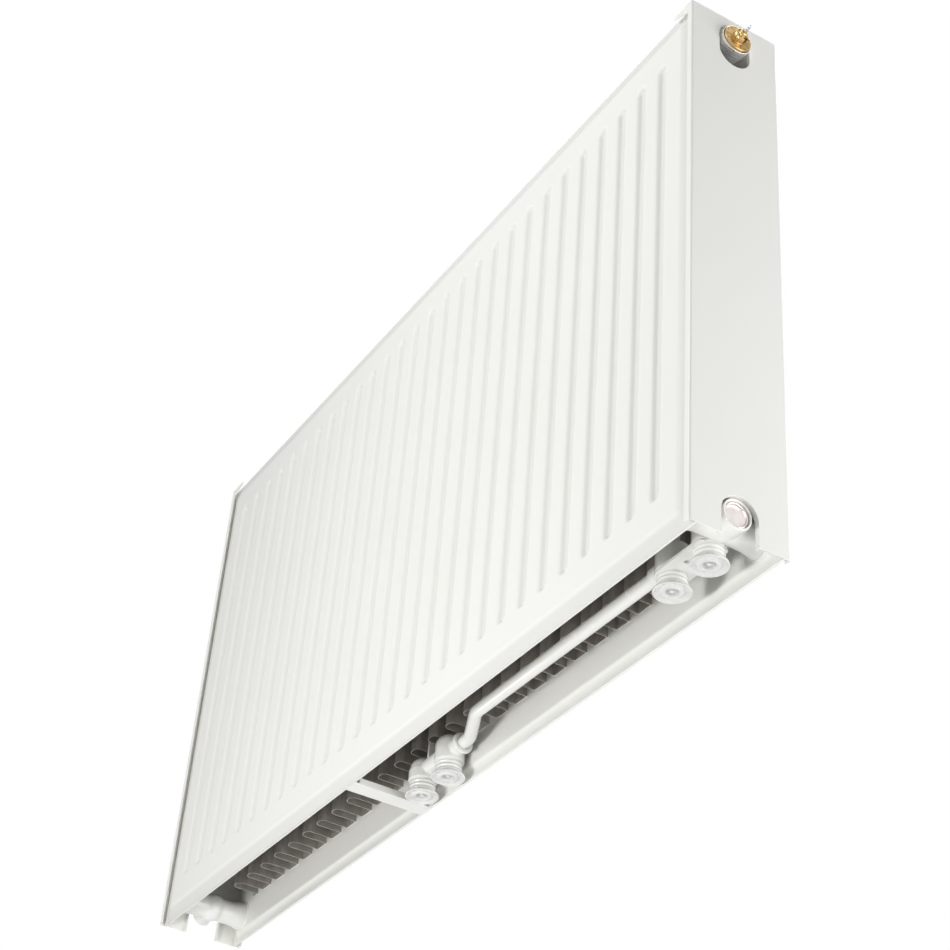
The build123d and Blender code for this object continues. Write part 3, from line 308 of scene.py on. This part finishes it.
# pinkish tint in the plugs' nickel colour is a painted reflection of the surroundings
plug_nickel_pink_reflection = turned_metal("nickel_plate_painted_pink_reflection", (0.74, 0.67, 0.64), (0.84, 0.78, 0.75), 0.14, 0.26)
finish_of_slot = {
    "white_paint": powder_paint(),
    "bare_steel": convector_primer(),
    "nickel": turned_metal("nickel_plate", (0.70, 0.68, 0.65), (0.80, 0.78, 0.75), 0.16, 0.30),
    "brass": turned_metal("machined_brass", (0.33, 0.205, 0.075), (0.60, 0.42, 0.19), 0.20, 0.36),
    "steel": turned_metal("bright_steel", (0.42, 0.42, 0.42), (0.55, 0.55, 0.55), 0.18, 0.30),
    "rubber": black_rubber,
    "seal": black_rubber,
    "cap_plastic": milky_plastic(),
}
finish_of_node = dict.fromkeys(THICKLY_PAINTED, dipped_paint())
finish_of_node |= {
    "front_outer_sheet": panel_paint_with_painted_groove_shade(),
    "valve_collar": turned_metal("satin_nickel_plate", (0.74, 0.725, 0.70), (0.86, 0.845, 0.82), 0.22, 0.34,
                                 metallic=0.6),
    "lower_left_plug": plug_nickel_pink_reflection,
    "lower_right_plug": plug_nickel_pink_reflection,
}


# Handling of pieces

def only(*pieces):
    """Select these pieces and nothing else; the first is the active one."""
    bpy.ops.object.select_all(action="DESELECT")
    for piece in pieces:
        piece.select_set(True)
    bpy.context.view_layer.objects.active = pieces[0]


def name_piece(piece, name):
    piece.name = name
    piece.data.name = name


def wear(piece, finish):
    piece.data.materials.clear()
    piece.data.materials.append(finish)


def apply_modifier(piece, kind, **settings):
    tool = piece.modifiers.new(kind.lower(), kind)
    for key, value in settings.items():
        setattr(tool, key, value)
    bpy.ops.object.modifier_apply(modifier=tool.name)


def merge_doubles():
    """In edit mode, select everything and merge corners that coincide."""
    bpy.ops.mesh.select_all(action="SELECT")
    bpy.ops.mesh.remove_doubles(threshold=MERGE_DISTANCE)


def settle(piece, sharp_angle=32.0):
    """Put the place and turn into the mesh, face everything outwards and shade it."""
    only(piece)
    bpy.ops.object.transform_apply(location=True, rotation=True, scale=True)
    bpy.ops.object.mode_set(mode="EDIT")
    merge_doubles()
    bpy.ops.mesh.normals_make_consistent(inside=False)
    bpy.ops.object.mode_set(mode="OBJECT")
    bpy.ops.object.shade_smooth_by_angle(angle=math.radians(sharp_angle))


def cut(piece, cutter):
    """Take the cutter's shape out of the piece and throw the cutter away."""
    only(piece)
    apply_modifier(piece, "BOOLEAN", operation="DIFFERENCE", solver="EXACT", object=cutter)
    bpy.data.objects.remove(cutter)
    settle(piece)


def stand_for(piece, *replaced):
    """The piece takes the place of frame nodes, and the first one's body and finish (its own, or its
    slot's).
    """
    node = replaced[0]
    wear(piece, finish_of_node.get(node) or finish_of_slot[slot_of_node[node]])
    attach(piece, body_of_node[node])
    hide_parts(*replaced)
    return piece


def copy_of(name, *sources, flatten=False):
    """One merged copy of frame nodes; flatten also joins faces that lie in one plane."""
    only(*(nodes[node] for node in sources))
    bpy.ops.object.duplicate()
    if len(sources) > 1:
        bpy.ops.object.join()
    piece = bpy.context.object
    name_piece(piece, name)
    del piece["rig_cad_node"]
    bpy.ops.object.mode_set(mode="EDIT")
    merge_doubles()
    if flatten:
        bpy.ops.mesh.dissolve_limited(angle_limit=FLAT_WITHIN, delimit={"NORMAL"})
    bpy.ops.object.mode_set(mode="OBJECT")
    return piece


def finished_copy(node):
    """Smooth-shaded copy of a frame node that stands for it, with its edges broken if EDGE_ROUND says so."""
    piece = copy_of(node + "_shown", node, flatten=True)
    if node in EDGE_ROUND:
        apply_modifier(piece, "BEVEL", width=EDGE_ROUND[node] * MM, segments=2, limit_method="ANGLE",
                       angle_limit=BROKEN_ABOVE, use_clamp_overlap=True)
    bpy.ops.object.shade_smooth_by_angle(angle=math.radians(28))
    apply_modifier(piece, "WEIGHTED_NORMAL", keep_sharp=True)
    return stand_for(piece, node)


def cast_copy(name, *sources, voxel=0.7, rounds=8):
    """Welded or cast pieces under one thick coat of paint: joined, evened out and softened."""
    piece = copy_of(name, *sources)
    apply_modifier(piece, "REMESH", mode="VOXEL", voxel_size=voxel * MM)
    apply_modifier(piece, "SMOOTH", factor=0.5, iterations=rounds)
    bpy.ops.object.shade_smooth()
    stand_for(piece, *sources)


def turned(name, outline, along, place, closed=False, sides=ROUND_SIDES, sharp_angle=32.0):
    """Lathe work: a ring is drawn out and resized along the (radius, distance) outline in millimetres."""
    axis = Vector((1, 0, 0)) if along == "x" else Vector((0, 0, 1))
    spin = (0, math.pi / 2, 0) if along == "x" else (0, 0, 0)
    place = Vector(place)
    rings = [*outline, outline[0]] if closed else outline
    radius, distance = rings[0]
    bpy.ops.object.select_all(action="DESELECT")
    bpy.ops.mesh.primitive_circle_add(vertices=sides, radius=radius * MM, rotation=spin,
                                      location=place + axis * (distance * MM))
    piece = bpy.context.object
    name_piece(piece, name)
    bpy.ops.object.mode_set(mode="EDIT")
    bpy.ops.mesh.select_all(action="SELECT")
    for (r0, d0), (r1, d1) in zip(rings, rings[1:]):
        bpy.ops.mesh.extrude_region_move(TRANSFORM_OT_translate={"value": axis * ((d1 - d0) * MM)})
        growth = [1 if part else r1 / r0 for part in axis]
        bpy.ops.transform.resize(value=growth, center_override=place + axis * (d1 * MM))
    if not closed:
        bpy.ops.mesh.select_all(action="SELECT")
        bpy.ops.mesh.fill_holes(sides=0)
    bpy.ops.object.mode_set(mode="OBJECT")
    settle(piece, sharp_angle)
    return piece


def bar(place, size):
    """Cutter or mark: a block of the given size in millimetres about a place."""
    bpy.ops.object.select_all(action="DESELECT")
    bpy.ops.mesh.primitive_cube_add(size=1, location=place)
    piece = bpy.context.object
    piece.scale = [length * MM for length in size]
    bpy.ops.object.transform_apply(location=True, rotation=True, scale=True)
    return piece


# Connections, measured up from the nipples' lower ends

def threaded_nipple(label):
    """Pipe end with rounded thread ridges under thick paint, up to the body or the tie plate."""
    thread = mounts[label + "_thread"]
    x, y, _ = thread["pos_m"]
    crest = thread["dims"]["r_mm"]
    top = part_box(label + "_nipple")[1][2] / MM
    outline = [(NIPPLE_BORE, 0), (11.7, 0), (12.1, 0.4)]
    for ridge in range(THREAD_RIDGES):
        start = THREAD_START + ridge * RIDGE_PITCH
        outline += [(THREAD_ROOT, start), *((crest - depth, start + place) for place, depth in RIDGE),
                    (THREAD_ROOT, start + RIDGE_WIDTH)]
    outline += [(THREAD_ROOT, THREAD_END), (NIPPLE_NECK, THREAD_END + 0.4), (NIPPLE_NECK, top),
                (NIPPLE_BORE, top)]
    piece = turned(label + "_nipple_shown", outline, "z", (x, y, 0), closed=True, sharp_angle=50.0)
    stand_for(piece, label + "_nipple")


def ringed_cap(label):
    """Protective cap: deep centre with a nub, raised ring, dished flange with a rolled rim, hollow plug."""
    x, y, _ = mounts[label + "_thread"]["pos_m"]
    outline = [
        # nub
        (0.6, -1.9), (1.7, -1.8), (2.2, -1.4),
        # deep centre
        (2.4, 2.6), (2.8, 3.0), (5.2, 3.0), (5.7, 2.6),
        # raised ring
        (6.1, -2.2), (6.5, -2.75), (7.1, -3.0), (8.3, -3.0), (8.9, -2.8), (9.4, -2.2),
        # dished flange
        (10.0, -1.5), (10.8, -1.3), (12.2, -1.4), (13.4, -1.75), (14.6, -2.3),
        # rolled rim
        (15.2, -2.8), (15.7, -3.0), (16.2, -2.85), (16.5, -2.4), (16.55, -1.6), (16.3, -0.9),
        (15.8, -0.45), (15.0, -0.25),
        # plug
        (9.3, -0.2), (8.8, 0.2), (8.8, 8.2), (8.5, 8.8), (7.9, 9.0),
    ]
    piece = turned(label + "_cap_shown", outline, "z", (x, y, 0), sharp_angle=40.0)
    stand_for(piece, label + "_cap")


# Valve, measured outwards from the right cover's face

def turn_about_valve(piece, degrees):
    only(piece)
    bpy.ops.object.mode_set(mode="EDIT")
    bpy.ops.mesh.select_all(action="SELECT")
    bpy.ops.transform.rotate(value=math.radians(degrees), orient_axis="X", center_override=VALVE)
    bpy.ops.object.mode_set(mode="OBJECT")


def nickel_collar():
    """Collar for the thermostat head, bright and smooth, with a locking hole near its rim."""
    outer = 16.5
    outline = [
        # cup and its rim
        (15.35, -1.4), (15.35, 3.5), (15.6, 3.85), (15.9, 4.0), (16.15, 3.95), (16.4, 3.75), (outer, 3.4),
        # fine groove
        (outer, 1.0), (15.9, 0.9), (15.9, 0.6), (outer, 0.5),
        # shoulder and neck
        (outer, -13.2), (16.2, -13.6), (15.7, -13.7), (9.9, -13.7), (9.9, -21.5),
        # stepped bore
        (7.2, -21.5), (7.2, -7.8), (11.9, -7.8), (11.9, -1.4),
    ]
    piece = turned("valve_collar_shown", outline, "x", VALVE, closed=True)
    angle = math.radians(HOLE_TURN)
    place = (END_X + HOLE_FROM_FACE * MM, MID_Y + outer * MM * math.cos(angle),
             HIGH_PORT + outer * MM * math.sin(angle))
    bpy.ops.object.select_all(action="DESELECT")
    bpy.ops.mesh.primitive_cylinder_add(vertices=24, radius=HOLE_RADIUS * MM, depth=HOLE_DEPTH * MM,
                                        location=place, rotation=(angle - math.pi / 2, 0, 0))
    cut(piece, bpy.context.object)
    stand_for(piece, "valve_collar")


def scale_ring():
    """Brass preset ring: stepped face for a scale, and a slotted boss round the gland."""
    outline = [
        # back and rounded edge
        (4.35, -0.8), (14.7, -0.8), (15.0, -0.5), (15.0, 5.5), (14.8, 6.0), (14.4, 6.3), (13.9, 6.4),
        # face and the groove at the boss's foot
        (12.1, RING_FACE), (8.6, RING_FACE), (8.2, 6.2), (7.5, 6.2), (7.2, RING_FACE),
        # boss
        (7.2, 11.9), (7.0, 12.3), (6.6, 12.5), (4.8, 12.5), (4.35, 12.1),
    ]
    piece = turned("preset_ring_shown", outline, "x", VALVE, closed=True)
    slot = bar((END_X + (SLOT_FLOOR + SLOT_TOP) / 2 * MM, MID_Y, HIGH_PORT),
               (SLOT_TOP - SLOT_FLOOR, SLOT_WIDTH, SLOT_LENGTH))
    turn_about_valve(slot, SLOT_TURN)
    cut(piece, slot)
    stand_for(piece, "preset_ring")


def scale_numbers():
    """Inked marks and numbers all round the ring's face."""
    inked = []
    for step in range(2 * SCALE_NUMBERS):
        length, middle = SHORT_MARK if step % 2 else LONG_MARK
        mark = bar((END_X + (RING_FACE - INK_THICKNESS / 2) * MM, MID_Y, HIGH_PORT + middle * MM),
                   (MARK_THICKNESS, MARK_WIDTH, length))
        turn_about_valve(mark, SCALE_START + step * NUMBER_TURN / 2)
        inked.append(mark)
    for number in range(SCALE_NUMBERS):
        bpy.ops.object.select_all(action="DESELECT")
        bpy.ops.object.text_add(location=(END_X + RING_FACE * MM, MID_Y, HIGH_PORT + NUMBER_RADIUS * MM),
                                rotation=(math.pi / 2, 0, math.pi / 2))
        text = bpy.context.object.data
        text.body = str(number + 1)
        text.size = NUMBER_HEIGHT * MM
        text.extrude = INK_THICKNESS / 2 * MM
        text.align_x = "CENTER"
        text.align_y = "CENTER"
        bpy.ops.object.convert(target="MESH")
        digit = bpy.context.object
        bpy.ops.object.transform_apply(location=True, rotation=True, scale=True)
        turn_about_valve(digit, SCALE_START + number * NUMBER_TURN)
        inked.append(digit)
    only(*inked)
    bpy.ops.object.join()
    piece = bpy.context.object
    name_piece(piece, "scale_numbers")
    settle(piece, 30.0)
    wear(piece, black_rubber)
    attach(piece, "preset")


def gland():
    """Brass gland round the pin, with a fine groove near its end and a pocket for the pin's seal."""
    outline = [
        # outside
        (1.8, -1.4), (4.0, -1.4), (4.0, 13.4), (3.8, 13.8), (4.0, 14.2),
        # rounded end
        (4.0, 15.1), (3.8, 15.6), (3.3, 16.0), (2.3, 16.0), (1.8, 15.6),
        # bore with the pocket
        (1.8, 5.2), (3.0, 5.2), (3.0, 3.0), (1.8, 3.0),
    ]
    stand_for(turned("valve_gland_shown", outline, "x", VALVE, closed=True, sides=64), "valve_gland")


def push_pin():
    """Steel pin with a rounded tip."""
    outline = [(1.5, -4.8), (1.5, 23.6), (1.42, 24.2), (1.2, 24.7), (0.8, 25.0)]
    stand_for(turned("valve_pin_shown", outline, "x", VALVE, sides=48), "valve_pin")


# Plugs, measured outwards from the radiator's ends

def blind_plug(node, side):
    """Nickel plug with a cupped face and a thin rolled rim, in the lower port at the given end."""
    outline = [
        # cupped face
        (1.0, -7.25), (6.0, -7.2), (8.9, -7.05), (9.6, -6.8), (10.0, -6.3), (10.2, -5.4),
        # rolled rim
        (10.5, -4.8), (10.9, -4.6), (11.3, -4.6), (11.7, -4.8), (11.9, -5.3), (11.9, -8.8),
        # groove for the seal, and the plug's end
        (9.4, -8.8), (9.4, -10.0), (10.2, -10.0), (10.2, -17.4), (9.8, -18.0),
    ]
    outwards = [(radius, side * distance) for radius, distance in outline]
    stand_for(turned(node + "_shown", outwards, "x", (side * END_X, MID_Y, LOW_PORT)), node)


# Welds, cut edges and the spring

def weld_bead(name, place, seed):
    """Slightly lumpy fillet of weld round a tee's end, under the paint."""
    bpy.ops.object.select_all(action="DESELECT")
    bpy.ops.mesh.primitive_torus_add(major_segments=72, minor_segments=14, major_radius=TEE_RADIUS,
                                     minor_radius=WELD_THICKNESS * MM, location=place,
                                     rotation=(math.pi / 2, 0, 0))
    piece = bpy.context.object
    name_piece(piece, name)
    bpy.ops.object.transform_apply(location=True, rotation=True, scale=True)
    bpy.ops.object.mode_set(mode="EDIT")
    bpy.ops.mesh.select_all(action="SELECT")
    bpy.ops.transform.vertex_random(offset=WELD_LUMPS * MM, uniform=0.0, normal=0.7, seed=seed)
    bpy.ops.mesh.vertices_smooth(factor=0.5, repeat=2)
    bpy.ops.object.mode_set(mode="OBJECT")
    bpy.ops.object.shade_smooth_by_angle(angle=math.radians(60))
    wear(piece, finish_of_slot["white_paint"])
    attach(piece, "radiator")


def show_cut_edges_with_painted_highlight(sheet):
    """Give the sheet's cut ends, which face up and down, their bare-metal finish with its painted highlight.
    """
    sheet.data.materials.append(bare_edge_and_highlight)
    for face in sheet.data.polygons:
        if abs(face.normal.z) > 0.9:
            face.material_index = 1


def shorten_when_pressed(spring):
    """Give the spring a mesh of its own."""
    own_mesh(spring)


# Assembly

for label in CONNECTIONS:
    threaded_nipple(label)
    ringed_cap(label)
nickel_collar()
scale_ring()
scale_numbers()
gland()
push_pin()
blind_plug("lower_right_plug", 1)
blind_plug("lower_left_plug", -1)
cast_copy("middle_casting_shown", *MIDDLE_CASTING, voxel=0.6, rounds=14)
for node in CASTINGS:
    cast_copy(node + "_shown", node)
for node in CONVECTORS:
    show_cut_edges_with_painted_highlight(finished_copy(node))
tee_corners = (("lower_left", -TEE_X, LOW_PORT), ("lower_right", TEE_X, LOW_PORT),
               ("upper_left", -TEE_X, HIGH_PORT), ("upper_right", TEE_X, HIGH_PORT))
for seed, (corner, x, z) in enumerate(tee_corners):
    weld_bead(corner + "_front_weld", (x, TEE_LOW[1], z), seed)
    weld_bead(corner + "_rear_weld", (x, TEE_HIGH[1], z), seed)

already_shown = {"valve_collar", "preset_ring", "valve_gland", "valve_pin", "lower_right_plug",
                 "lower_left_plug", *MIDDLE_CASTING, *CASTINGS, *CONVECTORS}
for label in CONNECTIONS:
    already_shown |= {label + "_nipple", label + "_cap"}
for node in sorted(set(nodes) - already_shown):
    piece = finished_copy(node)
    if node == "return_spring":
        shorten_when_pressed(piece)


# Stage

FLOOR_HEIGHT = -1.35
FLOOR_SIZE = 24
FLOOR_LIFT = 0.66
ROOM_LIGHT = 0.15
WHITE = (1, 1, 1, 1)

# Photograph's viewing angle: the camera's place, its lens in millimetres, and its three directions
CAMERA_PLACE = (1.53203, -0.86249, -0.89504)
CAMERA_LENS = 76.1
CAMERA_RIGHT = Vector((0.52072595, 0.85104112, 0.06762762))
CAMERA_DOWN = Vector((-0.47344711, 0.35378775, -0.80664866))
CAMERA_FORWARD = Vector((-0.710417, 0.38802478, 0.58714943))

# Softboxes: place, aim, diameter, watts
SOFTBOXES = {
    "key_low": ((0.15, -1.25, -0.7), (0.0, -0.05, 0.2), 0.4, 11),
    "key_high": ((0.3, -1.25, 1.0), (0.1, -0.05, 0.35), 0.8, 9.4),
    "fill_right": ((1.7, 1.0, -0.3), (0.5, -0.05, 0.15), 2.0, 34),
    "fill_left": ((-1.8, 1.0, 0.5), (-0.5, -0.05, 0.35), 1.2, 14),
    "edge_light": ((-1.45, -0.95, -1.0), (0.0, -0.05, 0.05), 0.3, 2.5),
    "fill_top": ((0.0, 0.5, 2.2), (0.0, -0.05, 0.6), 1.5, 22),
}


def only_seen(tree):
    """One for rays from the camera, mirrors and clear pieces, nothing for rays that light the object."""
    rays = tree.nodes.new("ShaderNodeLightPath")
    value = rays.outputs["Is Camera Ray"]
    for other in ("Is Glossy Ray", "Is Transmission Ray"):
        larger = tree.nodes.new("ShaderNodeMath")
        larger.operation = "MAXIMUM"
        tree.links.new(value, larger.inputs[0])
        tree.links.new(rays.outputs[other], larger.inputs[1])
        value = larger.outputs[0]
    return value


def pale_floor():
    """Paper floor well under the object, lifted towards white where it is seen."""
    bpy.ops.object.select_all(action="DESELECT")
    bpy.ops.mesh.primitive_plane_add(size=FLOOR_SIZE, location=(0, 0, FLOOR_HEIGHT))
    floor = bpy.context.object
    name_piece(floor, "floor")
    paper, shader = blank_finish("floor_paper")
    colour_between(paper, shader, grain(paper, scale=2.0), (0.84, 0.84, 0.84), (0.86, 0.86, 0.86))
    shader.inputs["Roughness"].default_value = 0.8
    shader.inputs["Emission Color"].default_value = WHITE
    glow = add_node(paper, "ShaderNodeMath", operation="MULTIPLY")
    glow.inputs[1].default_value = FLOOR_LIFT
    paper.node_tree.links.new(only_seen(paper.node_tree), glow.inputs[0])
    paper.node_tree.links.new(glow.outputs[0], shader.inputs["Emission Strength"])
    wear(floor, paper)


def white_surround():
    """World that looks white, and lights the object only softly."""
    world = bpy.data.worlds.new("studio_surround")
    bpy.context.scene.world = world
    world.use_nodes = True
    tree = world.node_tree
    room = tree.nodes["Background"]
    seen = tree.nodes.new("ShaderNodeBackground")
    for light, strength in ((room, ROOM_LIGHT), (seen, 1.0)):
        light.inputs["Color"].default_value = WHITE
        light.inputs["Strength"].default_value = strength
    mix = tree.nodes.new("ShaderNodeMixShader")
    tree.links.new(only_seen(tree), mix.inputs["Fac"])
    tree.links.new(room.outputs[0], mix.inputs[1])
    tree.links.new(seen.outputs[0], mix.inputs[2])
    tree.links.new(mix.outputs[0], tree.nodes["World Output"].inputs["Surface"])


def softbox(name, place, aim, diameter, watts):
    light = bpy.data.lights.new(name, "AREA")
    light.shape = "DISK"
    light.size = diameter
    light.energy = watts
    lamp = bpy.data.objects.new(name, light)
    bpy.context.scene.collection.objects.link(lamp)
    lamp.location = place
    lamp.rotation_euler = (Vector(aim) - Vector(place)).to_track_quat("-Z", "Y").to_euler()


def photo_camera():
    """Camera low on the right, looking up at the underside."""
    lens = bpy.data.cameras.new("camera")
    lens.sensor_width = 36.0
    lens.lens = CAMERA_LENS
    lens.clip_start = 0.05
    camera = bpy.data.objects.new("camera", lens)
    bpy.context.scene.collection.objects.link(camera)
    turn = Matrix((CAMERA_RIGHT, -CAMERA_DOWN, -CAMERA_FORWARD)).transposed().to_4x4()
    camera.matrix_world = Matrix.Translation(CAMERA_PLACE) @ turn
    bpy.context.scene.camera = camera


pale_floor()
white_surround()
for name, settings in SOFTBOXES.items():
    softbox(name, *settings)
photo_camera()
bpy.context.scene.view_settings.view_transform = "Standard"
